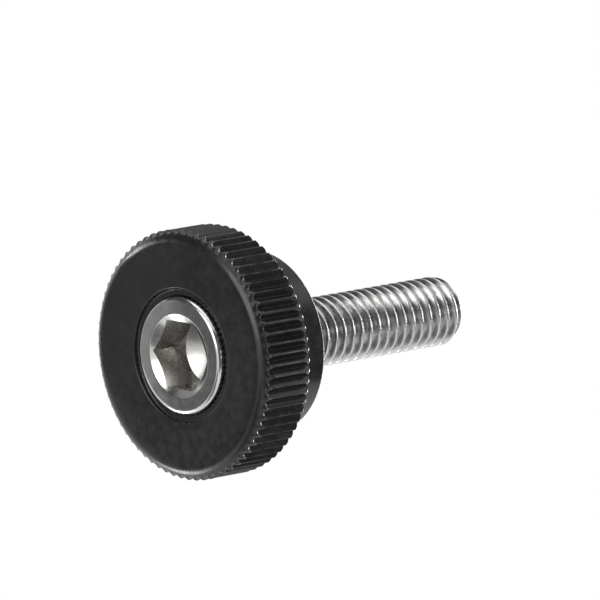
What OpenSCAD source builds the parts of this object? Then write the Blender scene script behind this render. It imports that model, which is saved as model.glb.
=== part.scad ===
// Thumb screw: a knurled plastic knob pressed onto the head of a socket head cap screw.
// It stands on the front face of the knob. The origin is the centre of that face,
// and +Z runs along the screw towards its tip.

/* [Screw shank] */
// Nominal diameter of the thread
thread_d = 6; // [4:0.5:7]
// Pitch of the thread, which sets the diameter of the plain neck under the head
thread_pitch = 1; // [0.5:0.25:1.25]
// Distance from the back of the hub to the first full thread
thread_start = 0.1; // [0:0.1:2]
// Length of the screw from under its head to its tip
screw_len = 24.6; // [15:0.1:60]
// Size of the chamfer at the tip
tip_chamfer = 0.75; // [0.2:0.05:1.2]

/* [Screw head] */
// Diameter of the head
head_d = 10; // [9:0.5:12]
// Height of the head
head_h = 6; // [5:0.25:7]
// Radius of the outer edge of the head
head_edge_r = 0.4; // [0.1:0.05:0.8]

/* [Hex socket] */
// Width of the socket across its flats
socket_af = 5.7; // [4:0.1:6.3]
// Depth of the flat walls of the socket
socket_depth = 3.5; // [2:0.1:4]
// Included angle of the cone at the bottom of the socket
point_angle = 120; // [110:5:150]
// Distance from the corners of the socket to the edge of its countersink
mouth_margin = 0.25; // [0.05:0.05:0.6]
// Included angle of the countersink
mouth_angle = 120; // [90:5:140]
// Turn of the socket about the axis of the screw
socket_turn = 45; // [0:1:59]

/* [Knob rim] */
// Diameter of the rim over the tips of its teeth
rim_d = 21; // [18:0.5:30]
// Height of the rim
rim_h = 5.3; // [4:0.1:7]
// Radius of the front edge of the rim
front_round_r = 1.15; // [0.5:0.05:1.6]
// Radius of the rear edge of the rim
rear_round_r = 0.4; // [0.1:0.05:0.8]

/* [Knurl] */
// Number of teeth round the rim
tooth_count = 72; // [48:4:96]
// Depth of the grooves between the teeth
tooth_depth = 0.3; // [0.1:0.05:0.45]
// Width of the flat tip of a tooth
tooth_tip_w = 0.14; // [0.05:0.01:0.3]

/* [Knob front] */
// Width of the flat land that the knob stands on
land_w = 0.4; // [0.2:0.1:1]
// Depth of the shallow dish inside the land
dish_depth = 0.2; // [0.1:0.05:0.4]
// Width of the sloping well round the screw head
well_w = 0.67; // [0.3:0.01:1.2]
// Further depth of the well
well_depth = 0.2; // [0.1:0.05:0.4]

/* [Knob hub] */
// Diameter of the hub
hub_d = 15.5; // [13:0.5:17]
// Height of the whole knob, from its front face to the back of the hub
knob_h = 9.4; // [8.4:0.1:14]
// Radius of the rear edge of the hub
hub_edge_r = 0.3; // [0.1:0.05:0.8]

/* [Fits] */
// Radial gap between the knob and the head, which is 0 for a press fit
head_gap = 0; // [0:0.02:0.2]
// Radial gap between the knob and the thread
shank_gap = 0.1; // [0.05:0.05:0.4]

/* [Hidden] */
$fn = 96;

// How far a cut runs past the face that it opens
overrun = 1;
// Height of a thread's crest above its pitch line, on both sides together, in pitches
crest_share = 0.65;
// Number of sides of the socket
socket_sides = 6;

thread_r = thread_d / 2;
neck_r = thread_r - crest_share * thread_pitch / 2;
neck_len = knob_h - head_h + thread_start;
head_r = head_d / 2;

socket_corner_r = socket_af / 2 / cos(180 / socket_sides);
point_h = socket_af / 2 / tan(point_angle / 2);
mouth_r = socket_corner_r + mouth_margin;
mouth_h = mouth_r / tan(mouth_angle / 2);

rim_r = rim_d / 2;
root_r = rim_r - tooth_depth;
tooth_angle = 360 / tooth_count;
tip_angle = 2 * asin(tooth_tip_w / rim_d);
hub_r = hub_d / 2;
dish_r = rim_r - front_round_r - land_w;
pocket_r = head_r + head_gap;
well_r = pocket_r + well_w;
pocket_z = dish_depth + well_depth;
shank_hole_r = thread_r + shank_gap;

function polar(radius, angle) = radius * [cos(angle), sin(angle)];

// Half section of a disc that stands at z = 0, with the lower of its outer edges rounded
module disc_section(radius, height, edge_r) {
    square([radius - edge_r, height]);
    translate([0, edge_r])
        square([radius, height - edge_r]);
    translate([radius - edge_r, edge_r])
        circle(edge_r);
}

// Turns a half section over, so that what was at the bottom is at the given height
module flipped(height) {
    translate([0, height])
        mirror([0, 1])
            children();
}

// Outline of the rim: a V groove between each two teeth, whose tips are flat
module knurl_outline() {
    tooth = [
        for (i = [0 : tooth_count - 1], corner = [0 : 2])
            corner == 0
                ? polar(root_r, i * tooth_angle)
                : polar(rim_r, (i + 0.5) * tooth_angle + (corner - 1.5) * tip_angle)
    ];
    polygon(tooth);
}

// The rim, whose rounded edges run off the ends of the teeth
module rim() {
    intersection() {
        linear_extrude(rim_h)
            knurl_outline();
        rotate_extrude()
            intersection() {
                disc_section(rim_r, rim_h, front_round_r);
                flipped(rim_h)
                    disc_section(rim_r, rim_h, rear_round_r);
            }
    }
}

// What is cut from the knob: the dish, the well, the pocket for the head and the screw hole
module knob_opening_section() {
    polygon([
        [0, -overrun],
        [dish_r, -overrun],
        [dish_r, 0],
        [well_r, dish_depth],
        [pocket_r, pocket_z],
        [pocket_r, head_h],
        [shank_hole_r, head_h],
        [shank_hole_r, knob_h + overrun],
        [0, knob_h + overrun]
    ]);
}

module knob() {
    color("#2e2e30")
        difference() {
            union() {
                rim();
                rotate_extrude()
                    flipped(knob_h)
                        disc_section(hub_r, knob_h, hub_edge_r);
            }
            rotate_extrude()
                knob_opening_section();
        }
}

// Half section of the shank from under the head: plain neck, thread at its crests, chamfer
module shank_section() {
    polygon([
        [0, 0],
        [neck_r, 0],
        [neck_r, neck_len + neck_r - thread_r],
        [thread_r, neck_len],
        [thread_r, screw_len - tip_chamfer],
        [thread_r - tip_chamfer, screw_len],
        [0, screw_len]
    ]);
}

// The socket's flat walls, the cone below them and the countersink at its mouth
module socket() {
    translate([0, 0, -overrun])
        rotate(socket_turn)
            cylinder(h = socket_depth + overrun, r = socket_corner_r, $fn = socket_sides);
    translate([0, 0, socket_depth])
        cylinder(h = point_h, r1 = socket_af / 2, r2 = 0);
    translate([0, 0, -overrun])
        cylinder(h = mouth_h + overrun, r1 = mouth_r * (mouth_h + overrun) / mouth_h, r2 = 0);
}

module socket_screw() {
    color("#c9cbcc")
        difference() {
            rotate_extrude() {
                disc_section(head_r, head_h, head_edge_r);
                translate([0, head_h])
                    shank_section();
            }
            socket();
        }
}

knob();
socket_screw();
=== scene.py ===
# A knurled thumb screw: a moulded knob pressed onto a socket head cap screw.
import bpy
import math
from mathutils import Matrix, Vector


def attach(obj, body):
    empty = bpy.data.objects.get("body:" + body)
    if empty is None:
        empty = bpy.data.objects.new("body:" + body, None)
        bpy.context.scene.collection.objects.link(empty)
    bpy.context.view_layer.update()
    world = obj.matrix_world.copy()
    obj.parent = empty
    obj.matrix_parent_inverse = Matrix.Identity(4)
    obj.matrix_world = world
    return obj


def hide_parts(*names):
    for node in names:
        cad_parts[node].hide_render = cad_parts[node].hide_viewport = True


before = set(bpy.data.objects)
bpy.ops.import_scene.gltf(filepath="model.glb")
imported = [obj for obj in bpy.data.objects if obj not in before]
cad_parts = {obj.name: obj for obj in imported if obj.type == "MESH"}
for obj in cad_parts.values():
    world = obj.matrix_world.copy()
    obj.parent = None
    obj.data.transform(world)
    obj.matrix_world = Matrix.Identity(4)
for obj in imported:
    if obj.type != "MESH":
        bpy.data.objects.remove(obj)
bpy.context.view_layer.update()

MM = 0.001
FULL_TURN = 2 * math.pi
ROUND_STEPS = 96
ON_AXIS = 0.001  # a point nearer the axis than this, in millimetres, is on it
MERGE = 0.002 * MM
CUT_MERGE = 1e-4 * MM

# Edges that turn by less than this, in degrees, are shaded smooth
KNOB_SMOOTH = 42
SCREW_SMOOTH = 27

# The knob, in millimetres
RIM_R = 10.5
RIM_H = 5.3
RIM_TEETH = 72
GROOVE_R = 10.05
LAND_R = 9.35
FRONT_ROUND = 1.15
REAR_ROUND = 0.45
HUB_R = 7.75
HUB_FOOT = 0.2
HUB_ROUND = 0.15
KNOB_H = 9.4
HOLE_R = 3.1
HOLE_CHAMFER = 0.12
POCKET_R = 5.0
HEAD_H = 6.0

# The well round the head and the dished front, from the pocket outwards: radius and height
WELL_AND_DISH = [
    (POCKET_R, 0.66), (POCKET_R + 0.05, 0.6), (5.3, 0.59), (5.5, 0.58), (5.58, 0.54), (5.62, 0.46),
    (5.65, 0.34), (5.68, 0.25), (5.72, 0.212), (5.8, 0.199), (5.95, 0.19), (6.1, 0.178), (6.6, 0.143),
    (7.4, 0.094), (7.8, 0.07), (8.2, 0.047), (8.6, 0.026), (8.9, 0.012), (9.15, 0.003)]

# Half a tooth of the rim, from the middle of a groove: shares of its width and of the groove's depth
RIM_TOOTH = [(0, 0.03), (0.06, 0.08), (0.14, 0.23), (0.295, 0.58), (0.445, 0.925), (0.475, 0.98)]

# How the teeth run out over the rounded front of the rim. A tilt is an angle on it, 0 at the land and
# 90 at the side. A share is 0 in the middle of a groove and 1 on a crest.
EDGE_STEPS = 16
GROOVE_FROM = 56  # tilt at which the middle of a groove begins
CREST_FROM = 86  # tilt at which a crest begins
BLUNTNESS = 2.5  # how blunt the end of a groove is
NUB = 0.12  # how far the crests stand proud
NUB_SHARE = 0.35  # share from which they do
NUB_FROM = 42  # tilt from which they do
EDGE_SOFT = 0.05  # radius of the softened edge at a groove's end
EDGE_TURN = 53  # how far that edge turns past level in the middle of a groove
END_SLOPE = 0.75  # how much a groove's end rises for its drop

# The screw, in millimetres
HEAD_R = 4.99
HEAD_GROOVE_R = 4.93
HEAD_ROUND = 0.48
HEAD_SPARE = 0.01  # keeps the rounded edge from running quite up to the side
HEAD_TEETH = 60
HEAD_BACK_R = 4.6
HEAD_BACK = 0.3
NECK_R = 2.675
NECK_FOOT = 0.2
NECK_LAP = 0.35  # how far the neck runs into the thread
NECK_END = 0.75
PITCH = 1.0
CREST_R = 2.955
ROOT_R = 2.42
THREAD_FROM = 9.05
THREAD_TURNS = 25
THREAD_RAISE = 7.17  # height of the thread's first root, before its ends are trimmed
SPARE = 0.5  # left on each end of the thread for its trimming
START_R = 2.55
START_H = 0.65
BLANK_R = 3.2  # the blank that trims the thread, clear of its crests
TIP_Z = 30.6
TIP_R = 2.25

# Half of the thread's section, from root to crest: radius and share of the pitch
THREAD_HALF = [
    (ROOT_R, 0), (ROOT_R + 0.014, 0.085), (ROOT_R + 0.06, 0.155), (2.72, 0.295), (2.87, 0.383),
    (2.92, 0.42), (2.947, 0.455), (CREST_R, 0.485)]

# The socket, in millimetres and degrees
SOCKET_FLATS = 5.7
SOCKET_DEPTH = 3.5
SOCKET_TURN = 45
HALF_POINT = 60  # half the angle of the drill point and of the countersink
POINT_LAP = 0.5
POINT_GAP = 0.01
MOUTH_R = 3.541
LIP_ROUND = 0.3
OUTSIDE = 1  # how far in front of the head the cutters start


# ---------------------------------------------------------------- modelling

def deselect():
    if bpy.context.object and bpy.context.object.mode != "OBJECT":
        bpy.ops.object.mode_set(mode="OBJECT")
    bpy.ops.object.select_all(action="DESELECT")


def pick(piece):
    """Selects a piece by itself."""
    deselect()
    bpy.context.view_layer.objects.active = piece
    piece.select_set(True)


def edit_all(piece):
    """Picks a piece and enters edit mode with all of it selected."""
    pick(piece)
    bpy.ops.object.mode_set(mode="EDIT")
    bpy.ops.mesh.select_all(action="SELECT")


def draw_section(name, points):
    """Draws an open line through points, each a radius and a height in millimetres."""
    deselect()
    bpy.ops.mesh.primitive_plane_add(size=MM)
    line = bpy.context.object
    line.name = line.data.name = name
    bpy.ops.object.mode_set(mode="EDIT")
    bpy.ops.mesh.merge(type="CENTER")
    bpy.ops.transform.translate(value=(points[0][0] * MM, 0, points[0][1] * MM))
    for (r0, z0), (r1, z1) in zip(points, points[1:]):
        step = ((r1 - r0) * MM, 0, (z1 - z0) * MM)
        bpy.ops.mesh.extrude_region_move(TRANSFORM_OT_translate={"value": step})
    bpy.ops.object.mode_set(mode="OBJECT")
    return line


def spin(piece, angle, steps, copies=False):
    """Spins all of a piece about the axis of the screw, as a surface or as copies."""
    edit_all(piece)
    bpy.ops.mesh.spin(steps=steps, angle=angle, dupli=copies, center=(0, 0, 0), axis=(0, 0, -1))
    bpy.ops.object.mode_set(mode="OBJECT")


def close_up(piece):
    """Joins the seams of a closed piece and turns its faces outwards."""
    edit_all(piece)
    bpy.ops.mesh.remove_doubles(threshold=MERGE)
    bpy.ops.mesh.normals_make_consistent(inside=False)
    bpy.ops.object.mode_set(mode="OBJECT")


def plain_turning(name, points):
    """A round piece from a section that starts and ends on the axis."""
    piece = draw_section(name, points)
    spin(piece, FULL_TURN, ROUND_STEPS)
    close_up(piece)
    return piece


def whole_tooth(half, crest):
    """The columns of a tooth, each a share of its width and a radius, from those of its first half."""
    return half + [(0.5, crest)] + [(1 - share, radius) for share, radius in reversed(half)]


def knurled_turning(name, section, tooth, teeth):
    """A turned piece with straight teeth on its side. section gives the points for a radius of the
    side, and tooth lists the columns of one tooth, each a share of its width and a radius."""
    drawn = section(tooth[0][1])
    piece = draw_section(name, drawn)
    spin(piece, FULL_TURN / teeth, len(tooth) - 1)
    for vertex in piece.data.vertices:
        at = Vector((math.hypot(vertex.co.x, vertex.co.y), vertex.co.z)) / MM
        row = min(range(len(drawn)), key=lambda i: (at - Vector(drawn[i])).length)
        turn = math.atan2(vertex.co.y, vertex.co.x) * teeth / FULL_TURN * (len(tooth) - 1)
        on_axis = at.x <= ON_AXIS
        share, radius = tooth[0 if on_axis else round(turn)]
        r, z = section(radius)[row]
        angle = FULL_TURN / teeth * share
        vertex.co = (r * MM * math.cos(angle), r * MM * math.sin(angle), z * MM)
    spin(piece, FULL_TURN * (teeth - 1) / teeth, teeth - 1, copies=True)
    close_up(piece)
    return piece


def modify(piece, kind, **settings):
    """Adds a modifier and applies it."""
    pick(piece)
    bpy.ops.object.modifier_add(type=kind)
    modifier = piece.modifiers[-1]
    for name, value in settings.items():
        setattr(modifier, name, value)
    bpy.ops.object.modifier_apply(modifier=modifier.name)


def combine(piece, tool, operation):
    """Cuts, joins or keeps what two solids share, and uses up the second."""
    modify(piece, "BOOLEAN", operation=operation, solver="EXACT", object=tool)
    bpy.data.objects.remove(tool, do_unlink=True)


def smooth(piece, degrees):
    pick(piece)
    bpy.ops.object.shade_smooth_by_angle(angle=math.radians(degrees))


def arc(centre, radius, start, end, steps):
    """Points along an arc, from start to end in degrees, with both ends."""
    turns = [math.radians(start + (end - start) * i / steps) for i in range(steps + 1)]
    return [(centre[0] + radius * math.cos(t), centre[1] + radius * math.sin(t)) for t in turns]


# ---------------------------------------------------------------- the knob

def front_edge(side):
    """The rounded front of the rim, up to where a groove of radius side breaks into it, then the
    groove's softened edge and steep end. The middle of a groove begins furthest forward, so its end
    is blunt. The crests stand a little proud of the rounded front."""
    share = 1 - (RIM_R - side) / (RIM_R - GROOVE_R)
    begin = GROOVE_FROM + (CREST_FROM - GROOVE_FROM) * share ** BLUNTNESS
    points = []
    for i in range(EDGE_STEPS + 1):
        tilt = begin * i / EDGE_STEPS
        nub = max(0, share - NUB_SHARE) / (1 - NUB_SHARE)
        swell = nub * math.sin(math.pi * max(0, tilt - NUB_FROM) / (90 - NUB_FROM)) ** 2
        away = FRONT_ROUND + NUB * swell
        points.append((LAND_R + away * math.sin(math.radians(tilt)),
                       FRONT_ROUND - away * math.cos(math.radians(tilt))))
    r, z = points[-1]
    turn = math.radians(begin)
    inside = (r - EDGE_SOFT * math.sin(turn), z + EDGE_SOFT * math.cos(turn))
    points += arc(inside, EDGE_SOFT, begin - 90, EDGE_TURN * (1 - share), 3)[1:]
    r, z = points[-1]
    return points + [(side, z + END_SLOPE * (r - side) + EDGE_SOFT)]


def knob_section(side):
    """Right round the knob: bore, pocket, well, dish, land, rim at radius side, hub. The points on a
    flat face or a straight side only divide it."""
    rear = math.degrees(math.acos(min(1, (side - (RIM_R - REAR_ROUND)) / REAR_ROUND)))
    rise = front_edge(side)
    fall = arc((RIM_R - REAR_ROUND, RIM_H - REAR_ROUND), REAR_ROUND, rear, 90, 5)
    z0 = rise[-1][1]
    z1 = fall[0][1]
    return [
        (HOLE_R, HEAD_H),
        (POCKET_R, HEAD_H),
        *WELL_AND_DISH,
        *rise,
        (side, z0 + 0.07),
        (side, z0 * 0.6 + z1 * 0.4),
        (side, z0 * 0.3 + z1 * 0.7),
        (side, z1 - 0.05),
        *fall,
        (9.6, RIM_H),
        (8.4, RIM_H),
        (HUB_R + HUB_FOOT, RIM_H),
        (HUB_R + HUB_FOOT * 0.3, RIM_H + HUB_FOOT * 0.3),
        (HUB_R, RIM_H + HUB_FOOT),
        (HUB_R, RIM_H + 0.5),
        *arc((HUB_R - HUB_ROUND, KNOB_H - HUB_ROUND), HUB_ROUND, 0, 90, 5),
        (7.2, KNOB_H),
        (4.5, KNOB_H),
        (HOLE_R + HOLE_CHAMFER, KNOB_H),
        (HOLE_R, KNOB_H - HOLE_CHAMFER),
        (HOLE_R, HEAD_H),
    ]


def make_knob():
    half = [(share, GROOVE_R + (RIM_R - GROOVE_R) * rise) for share, rise in RIM_TOOTH]
    knob = knurled_turning("moulded_knob", knob_section, whole_tooth(half, RIM_R), RIM_TEETH)
    smooth(knob, KNOB_SMOOTH)
    return knob


# ---------------------------------------------------------------- the screw

def head_section(side):
    """The head with its side at radius side, and the neck that runs up into the thread. The points on
    a flat face or a straight side only divide it."""
    middle = HEAD_R + HEAD_SPARE - HEAD_ROUND
    edge = math.degrees(math.acos((side - middle) / HEAD_ROUND))
    rise = arc((middle, HEAD_ROUND), HEAD_ROUND, -90, -edge, 7)
    return [
        (0, 0),
        (4.2, 0),
        (4.45, 0),
        *rise,
        (side, rise[-1][1] + 0.04),
        (side, 3),
        (side, HEAD_H - HEAD_BACK),
        (HEAD_BACK_R, HEAD_H),
        (NECK_R + NECK_FOOT, HEAD_H),
        (NECK_R, HEAD_H + NECK_FOOT),
        (NECK_R, THREAD_FROM + NECK_LAP),
        (ROOT_R - 0.1, THREAD_FROM + NECK_END),
        (0, THREAD_FROM + NECK_END),
    ]


def make_head():
    half = [(0, HEAD_GROOVE_R), (0.12, HEAD_GROOVE_R + 0.02), (0.36, HEAD_R - 0.02)]
    return knurled_turning("cap_screw", head_section, whole_tooth(half, HEAD_R), HEAD_TEETH)


def make_thread():
    """A right-hand thread with rounded crests and roots, cut square below and chamfered at its tip."""
    one_turn = THREAD_HALF + [(r, 1 - z) for r, z in reversed(THREAD_HALF)]
    thread = draw_section("thread", [(r, z * PITCH) for r, z in one_turn])
    modify(thread, "ARRAY", count=THREAD_TURNS, use_relative_offset=False, use_constant_offset=True,
           constant_offset_displace=(0, 0, PITCH * MM), use_merge_vertices=True,
           merge_threshold=MERGE)
    modify(thread, "SCREW", axis="Z", angle=FULL_TURN, screw_offset=PITCH * MM, steps=ROUND_STEPS,
           render_steps=ROUND_STEPS, iterations=1, use_merge_vertices=False)
    edit_all(thread)
    bpy.ops.transform.translate(value=(0, 0, THREAD_RAISE * MM))
    bpy.ops.mesh.remove_doubles(threshold=MERGE)
    for level, beyond in ((THREAD_FROM - SPARE, "clear_inner"), (TIP_Z + SPARE, "clear_outer")):
        bpy.ops.mesh.select_all(action="SELECT")
        bpy.ops.mesh.bisect(plane_co=(0, 0, level * MM), plane_no=(0, 0, 1), use_fill=True,
                            threshold=CUT_MERGE, **{beyond: True})
    bpy.ops.mesh.select_all(action="SELECT")
    bpy.ops.mesh.normals_make_consistent(inside=False)
    bpy.ops.object.mode_set(mode="OBJECT")
    blank = plain_turning("blank", [
        (0, THREAD_FROM), (START_R, THREAD_FROM), (BLANK_R, THREAD_FROM + START_H),
        (BLANK_R, TIP_Z - BLANK_R + TIP_R), (TIP_R, TIP_Z), (0, TIP_Z)])
    combine(thread, blank, "INTERSECT")
    close_up(thread)
    return thread


def cut_socket(screw):
    """Cuts the hexagon, the drill point below it and the countersink at its mouth."""
    deselect()
    depth = SOCKET_DEPTH + OUTSIDE
    bpy.ops.mesh.primitive_cylinder_add(
        vertices=6, radius=SOCKET_FLATS / 2 / math.cos(math.pi / 6) * MM, depth=depth * MM,
        location=(0, 0, (depth / 2 - OUTSIDE) * MM), rotation=(0, 0, math.radians(SOCKET_TURN)))
    hexagon = bpy.context.object
    place_in_mesh(hexagon)
    turn_corner_to(hexagon, SOCKET_TURN)
    combine(screw, hexagon, "DIFFERENCE")
    slope = math.tan(math.radians(HALF_POINT))
    wide = SOCKET_FLATS / 2 - POINT_GAP
    point = plain_turning("point", [
        (0, SOCKET_DEPTH - POINT_LAP), (wide, SOCKET_DEPTH - POINT_LAP), (wide, SOCKET_DEPTH),
        (0, SOCKET_DEPTH + wide / slope)])
    combine(screw, point, "DIFFERENCE")
    flare = 90 - HALF_POINT
    lip = arc((MOUTH_R + LIP_ROUND * math.tan(math.radians(flare / 2)), LIP_ROUND), LIP_ROUND,
              -90, -90 - flare, 4)
    mouth = plain_turning("mouth", [
        (0, -OUTSIDE), (lip[0][0], -OUTSIDE), *lip, (0, MOUTH_R / slope)])
    combine(screw, mouth, "DIFFERENCE")


def place_in_mesh(piece):
    pick(piece)
    bpy.ops.object.transform_apply(location=True, rotation=True, scale=True)


def turn_corner_to(piece, degrees):
    """Turns a prism about the axis until one of its corners is at an angle."""
    corner = max(piece.data.vertices, key=lambda v: v.co.x).co
    off = math.radians(degrees) - math.atan2(corner.y, corner.x)
    piece.data.transform(Matrix.Rotation(off, 4, "Z"))


def make_screw():
    screw = make_head()
    cut_socket(screw)
    combine(screw, make_thread(), "UNION")
    close_up(screw)
    smooth(screw, SCREW_SMOOTH)
    return screw


# ---------------------------------------------------------------- finishes

# Where a finish fades in, in metres: the radius or height where it has none and where it is full
# The paler crests of the knob's teeth are partly wear and partly a painted highlight
CREST_WEAR_AND_HIGHLIGHT = (0.01043, 0.0105)
KNOB_FRONT = (0.0006, 0.0002)
THREADED = (0.0090, 0.0093)
THREAD_ROOT = (0.00293, 0.0026)
SOCKET_FRONT = (0.0002, 0.0005)
SOCKET_BACK = (0.0062, 0.0058)
SOCKET_SIDE = (0.0036, 0.0034)


class Finish:
    """A material whose nodes are added one at a time and joined by name."""

    def __init__(self, name):
        self.material = bpy.data.materials.new(name)
        self.material.use_nodes = True
        self.nodes = self.material.node_tree.nodes
        self.shader = self.nodes["Principled BSDF"]
        self.place = self.nodes.new("ShaderNodeTexCoord").outputs["Object"]

    def node(self, kind, inputs, **settings):
        made = self.nodes.new("ShaderNode" + kind)
        for name, value in settings.items():
            setattr(made, name, value)
        for name, value in inputs.items():
            self.feed(made.inputs[name], value)
        return made

    def feed(self, socket, value):
        if isinstance(value, bpy.types.NodeSocket):
            self.material.node_tree.links.new(value, socket)
        else:
            socket.default_value = value

    def math(self, operation, a, b=0.0, c=0.0):
        return self.node("Math", {0: a, 1: b, 2: c}, operation=operation).outputs[0]

    def ramp(self, value, low, high, out_low=0.0, out_high=1.0):
        """A value carried smoothly from one range to another, and held at its ends."""
        inputs = {"Value": value, "From Min": low, "From Max": high, "To Min": out_low,
                  "To Max": out_high}
        return self.node("MapRange", inputs, interpolation_type="SMOOTHSTEP").outputs[0]

    def noise(self, scale, detail=3.0, roughness=0.55, vector=None):
        """Cloudy grain, with scale in grains to the metre."""
        inputs = {"Vector": vector or self.place, "Scale": scale, "Detail": detail,
                  "Roughness": roughness}
        return self.node("TexNoise", inputs).outputs["Fac"]

    def mix(self, share, a, b):
        """A colour between two, by share."""
        made = self.nodes.new("ShaderNodeMix")
        made.data_type = "RGBA"
        for index, value in ((0, share), (6, a), (7, b)):
            self.feed(made.inputs[index], value)
        return made.outputs[2]

    def polar(self):
        """Distance from the axis, height, and the two as one vector."""
        apart = self.node("SeparateXYZ", {0: self.place})
        flat = self.node("CombineXYZ", {"X": apart.outputs["X"], "Y": apart.outputs["Y"]}).outputs[0]
        radius = self.node("VectorMath", {0: flat}, operation="LENGTH").outputs["Value"]
        both = self.node("CombineXYZ", {"X": radius, "Z": apart.outputs["Z"]}).outputs[0]
        return radius, apart.outputs["Z"], both

    def bump(self, height, distance, strength=1.0, under=None):
        inputs = {"Height": height, "Distance": distance, "Strength": strength}
        if under:
            inputs["Normal"] = under
        return self.node("Bump", inputs).outputs["Normal"]


def grey(level, warmth=0.0):
    return (level * (1 + warmth), level, level * (1 - warmth), 1)


def moulded_black():
    """Satin black plastic with a turned front. The crests of the teeth are paler, partly from wear by
    fingers and partly as a painted highlight.
    """
    f = Finish("moulded_black")
    radius, height, rings = f.polar()
    mottle = f.noise(420, 4)
    pores = f.noise(9000, 2)
    marks = f.noise(5200, 2, vector=rings)
    # Paler crests: partly wear, partly a painted highlight standing in for the light caught along the
    # crest lines
    crest_wear_and_highlight = f.math("MULTIPLY", f.ramp(radius, *CREST_WEAR_AND_HIGHLIGHT), f.ramp(f.noise(700, 3), 0.35, 0.7))
    colour = f.mix(f.ramp(mottle, 0.3, 0.7), grey(0.010), grey(0.014))
    f.feed(f.shader.inputs["Base Color"], f.mix(crest_wear_and_highlight, colour, grey(0.09)))
    rough = f.ramp(f.noise(1300, 4), 0.3, 0.7, 0.2, 0.3)
    f.feed(f.shader.inputs["Roughness"], rough)
    on_front = f.ramp(height, *KNOB_FRONT)
    skin = f.bump(pores, 0.0000025)
    f.feed(f.shader.inputs["Normal"], f.bump(f.math("MULTIPLY", marks, on_front), 0.000006, under=skin))
    f.shader.inputs["IOR"].default_value = 1.5
    return f.material


def bright_steel():
    """Turned and rolled stainless steel, with painted shade darkening the roots of the thread."""
    f = Finish("bright_steel")
    radius, height, rings = f.polar()
    cloud = f.ramp(f.noise(600, 4), 0.3, 0.7)
    marks = f.noise(7000, 3, vector=rings)
    on_thread = f.ramp(height, *THREADED)
    root = f.math("MULTIPLY", on_thread, f.ramp(radius, *THREAD_ROOT))
    in_socket = f.math("MULTIPLY", f.ramp(height, *SOCKET_FRONT), f.ramp(height, *SOCKET_BACK))
    in_socket = f.math("MULTIPLY", in_socket, f.ramp(radius, *SOCKET_SIDE))
    colour = f.mix(cloud, grey(0.54, 0.01), grey(0.62, 0.01))
    # Painted shade: the roots of the thread are darkened where the grooves fall in shade
    painted_root_shade = f.math("MULTIPLY", root, f.ramp(f.noise(1500, 4), 0.25, 0.75, 0.4, 1.0))
    colour = f.mix(painted_root_shade, colour, grey(0.22, 0.02))
    f.feed(f.shader.inputs["Base Color"], f.mix(in_socket, colour, (0.52, 0.51, 0.485, 1)))
    rough = f.math("ADD", f.ramp(f.noise(1800, 4), 0.3, 0.7, 0.14, 0.22),
                   f.math("MULTIPLY", on_thread, 0.06))
    rough = f.math("ADD", rough, f.math("MULTIPLY", in_socket, 0.09))
    f.feed(f.shader.inputs["Roughness"], rough)
    f.feed(f.shader.inputs["Normal"], f.bump(marks, 0.000004))
    f.shader.inputs["Metallic"].default_value = 1
    return f.material


def pale_floor():
    """Matt and pale from above, and clear from below."""
    f = Finish("pale_floor")
    f.feed(f.shader.inputs["Base Color"], f.mix(f.noise(3, 2), grey(0.82), grey(0.86)))
    f.shader.inputs["Roughness"].default_value = 0.9
    behind = f.nodes.new("ShaderNodeNewGeometry").outputs["Backfacing"]
    clear = f.nodes.new("ShaderNodeBsdfTransparent").outputs[0]
    cover = f.node("MixShader", {0: behind, 1: f.shader.outputs[0], 2: clear}).outputs[0]
    f.feed(f.nodes["Material Output"].inputs["Surface"], cover)
    return f.material


# ---------------------------------------------------------------- the studio

# The camera looks along the screw at this angle, and the screw rises to the right by the second
LOOK = math.radians(47.34)
RISE = math.radians(9.89)
LOOK_TURN = math.radians(180.5)

# The middle of its picture, in millimetres: to the right of and above a point on the axis
CAMERA_POINT = 1.11
CAMERA_RIGHT = 9.277
CAMERA_UP = 4.530
CAMERA_BACK = 1000
LENS = 721.8
SENSOR = 36

# The room, in metres
STUDIO_MIDDLE = 0.008
FLOOR_SIZE = 6
FLOOR_DROP = 0.0002
ROOM_LEVEL = 0.65

# Lamps: right, up and back along the camera's own axes, distance, width, height and power
LAMPS = {
    "front_box": (-0.69, 0.21, 0.66, 0.6, 0.36, 0.36, 1.1),
    "left_lamp": (-0.94, 0.14, -0.31, 0.6, 0.08, 0.09, 0.36),
    "far_left_lamp": (-0.85, 0.25, -0.46, 0.6, 0.08, 0.08, 0.3),
    "back_lamp": (0.6, 0.1, -0.78, 0.6, 0.26, 0.5, 5.2),
    "low_lamp": (-0.72, -0.58, -0.36, 0.6, 0.16, 0.2, 0.9),
}

# Cards: the same, with a grey level in place of the power. Two small ones stand close to the knob:
# the near card shows in its flat front, and the flag keeps a lamp off the upper left of the head.
CARDS = {
    "high_card": (-0.15, 0.95, 0.27, 0.62, 0.5, 0.5, 1.7),
    "strip_card": (0.79, -0.02, 0.61, 0.6, 0.17, 0.55, 2.4),
    "near_card": (-0.944, -0.168, -0.285, 0.041, 0.029, 0.019, 0.95),
    "flag_card": (-0.996, 0.09, 0.004, 0.0185, 0.0125, 0.009, 0.34),
    "left_card": (-0.95, 0.03, -0.08, 0.7, 0.8, 0.72, 0.14),
    "back_card": (0.25, 0.72, -0.62, 0.72, 0.55, 0.5, 0.4),
    "top_card": (-0.82, 0.55, 0.0, 0.69, 0.5, 0.8, 0.08),
    "low_card": (-0.56, -0.68, 0.45, 0.68, 0.35, 0.5, 0.2),
    "front_card": (0.1, 0.0, 1.0, 0.75, 0.9, 0.9, 0.14),
    "right_card": (0.95, 0.0, 0.0, 0.7, 0.9, 0.9, 0.12),
}


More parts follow.
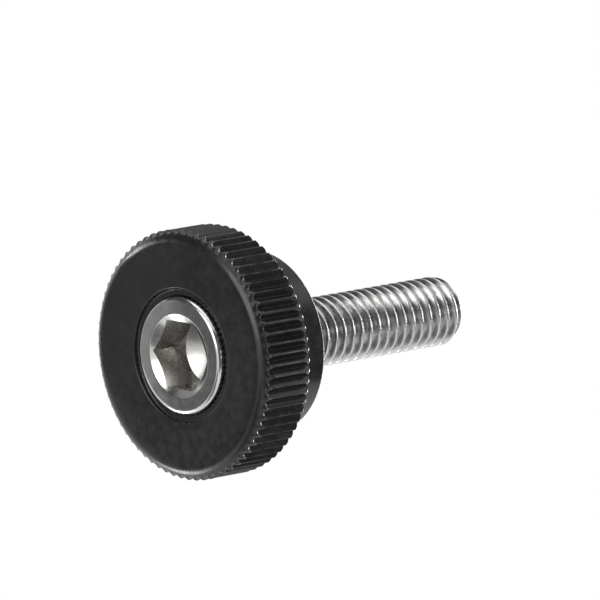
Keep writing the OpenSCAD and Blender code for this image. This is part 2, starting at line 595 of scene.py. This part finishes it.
def view_axes():
    """The camera's right, up and forward directions."""
    sl, cl, sr, cr = math.sin(LOOK), math.cos(LOOK), math.sin(RISE), math.cos(RISE)
    turn = Matrix.Rotation(LOOK_TURN, 3, "Z")
    return (turn @ Vector((-sr, cl * cr, sl * cr)), turn @ Vector((cr, cl * sr, sl * sr)),
            turn @ Vector((0, -sl, cl)))


def place_camera():
    right, up, forward = view_axes()
    spot = Vector((0, 0, CAMERA_POINT)) + CAMERA_RIGHT * right + CAMERA_UP * up - CAMERA_BACK * forward
    deselect()
    bpy.ops.object.camera_add(location=spot * MM)
    camera = bpy.context.object
    turn = Matrix((right, up, -forward)).transposed().to_4x4()
    camera.matrix_world = Matrix.Translation(spot * MM) @ turn
    camera.data.sensor_width = SENSOR
    camera.data.lens = LENS
    bpy.context.scene.camera = camera


def set_out(piece, right, up, back, distance):
    """Puts a lamp or a card at a distance along the camera's own axes, facing the knob."""
    axes = view_axes()
    way = (axes[0] * right + axes[1] * up - axes[2] * back).normalized()
    piece.location = Vector((0, 0, STUDIO_MIDDLE)) + way * distance
    piece.rotation_euler = way.to_track_quat("Z", "Y").to_euler()


def soft_light(name, right, up, back, distance, width, height, power):
    deselect()
    bpy.ops.object.light_add(type="AREA")
    light = bpy.context.object
    light.name = name
    light.data.shape = "RECTANGLE"
    light.data.size = width
    light.data.size_y = height
    light.data.energy = power
    set_out(light, right, up, back, distance)


def grey_card(name, right, up, back, distance, width, height, level):
    """A grey card, which only the gloss of the part can show."""
    deselect()
    bpy.ops.mesh.primitive_plane_add(size=1)
    card = bpy.context.object
    card.name = name
    card.scale = (width, height, 1)
    set_out(card, right, up, back, distance)
    f = Finish(name)
    glow = f.node("Emission", {"Color": f.mix(f.noise(4, 1), grey(level * 0.9), grey(level * 1.1))})
    f.feed(f.nodes["Material Output"].inputs["Surface"], glow.outputs[0])
    card.data.materials.append(f.material)
    for ray in ("camera", "shadow", "diffuse", "transmission"):
        setattr(card, "visible_" + ray, False)
    return card


def light_room():
    """White wherever the camera or a mirror looks, and softer on matt surfaces."""
    world = bpy.data.worlds.new("room")
    world.use_nodes = True
    bpy.context.scene.world = world
    nodes, links = world.node_tree.nodes, world.node_tree.links
    background = nodes["Background"]
    background.inputs["Color"].default_value = (1, 1, 1, 1)
    path = nodes.new("ShaderNodeLightPath").outputs
    white = path["Is Camera Ray"]
    for ray in ("Is Glossy Ray", "Is Transmission Ray"):
        either = nodes.new("ShaderNodeMath")
        either.operation = "ADD"
        links.new(white, either.inputs[0])
        links.new(path[ray], either.inputs[1])
        white = either.outputs[0]
    level = nodes.new("ShaderNodeMapRange")
    level.inputs["To Min"].default_value = ROOM_LEVEL
    links.new(white, level.inputs["Value"])
    links.new(level.outputs[0], background.inputs["Strength"])


def lay_floor():
    deselect()
    bpy.ops.mesh.primitive_plane_add(size=FLOOR_SIZE, location=(0, 0, -FLOOR_DROP))
    floor = bpy.context.object
    floor.name = "floor"
    floor.data.materials.append(pale_floor())
    for ray in ("shadow", "diffuse", "glossy", "transmission"):
        setattr(floor, "visible_" + ray, False)


# ---------------------------------------------------------------- the thumb screw

knob = make_knob()
knob.data.materials.append(moulded_black())
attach(knob, "root")
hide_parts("knob")

screw = make_screw()
screw.data.materials.append(bright_steel())
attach(screw, "root")
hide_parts("socket_screw")

lay_floor()
light_room()
for name, settings in LAMPS.items():
    soft_light(name, *settings)
cards = {name: grey_card(name, *settings) for name, settings in CARDS.items()}
cards["flag_card"].visible_shadow = True
place_camera()
bpy.context.scene.view_settings.view_transform = "Standard"
